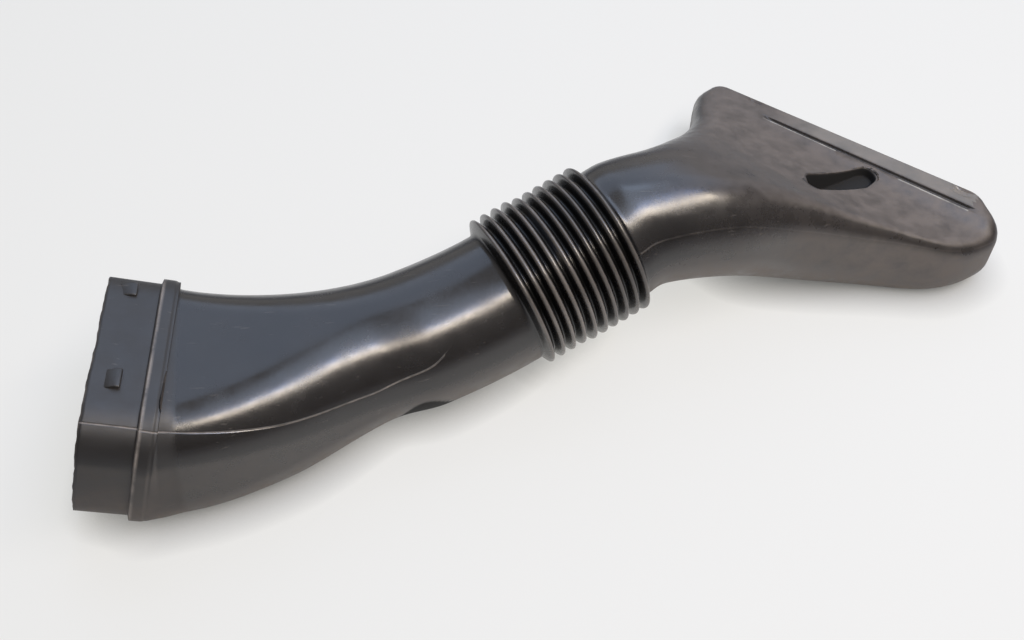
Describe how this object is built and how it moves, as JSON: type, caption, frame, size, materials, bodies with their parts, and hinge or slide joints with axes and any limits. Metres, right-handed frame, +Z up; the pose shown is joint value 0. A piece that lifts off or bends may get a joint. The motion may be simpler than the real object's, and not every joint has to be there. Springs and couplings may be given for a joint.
{
  "type": "air intake duct",
  "caption": "Hollow black plastic air intake duct: rounded rectangular clip-in collar, swept neck, bellows and a flattened scoop with a slanted slot mouth.",
  "frame": {"origin": "centre of the bounding box's base, on the floor the duct lies on", "axes": "+X from the collar to the scoop along the longest extent, +Z up from the floor, +Y to the far side"},
  "size_m": [0.5082, 0.2894, 0.104],
  "materials": {
    "black_polyethylene": "worn satin"
  },
  "bodies": {
    "root": {"intake_duct": "black_polyethylene"}
  },
  "joints": []
}
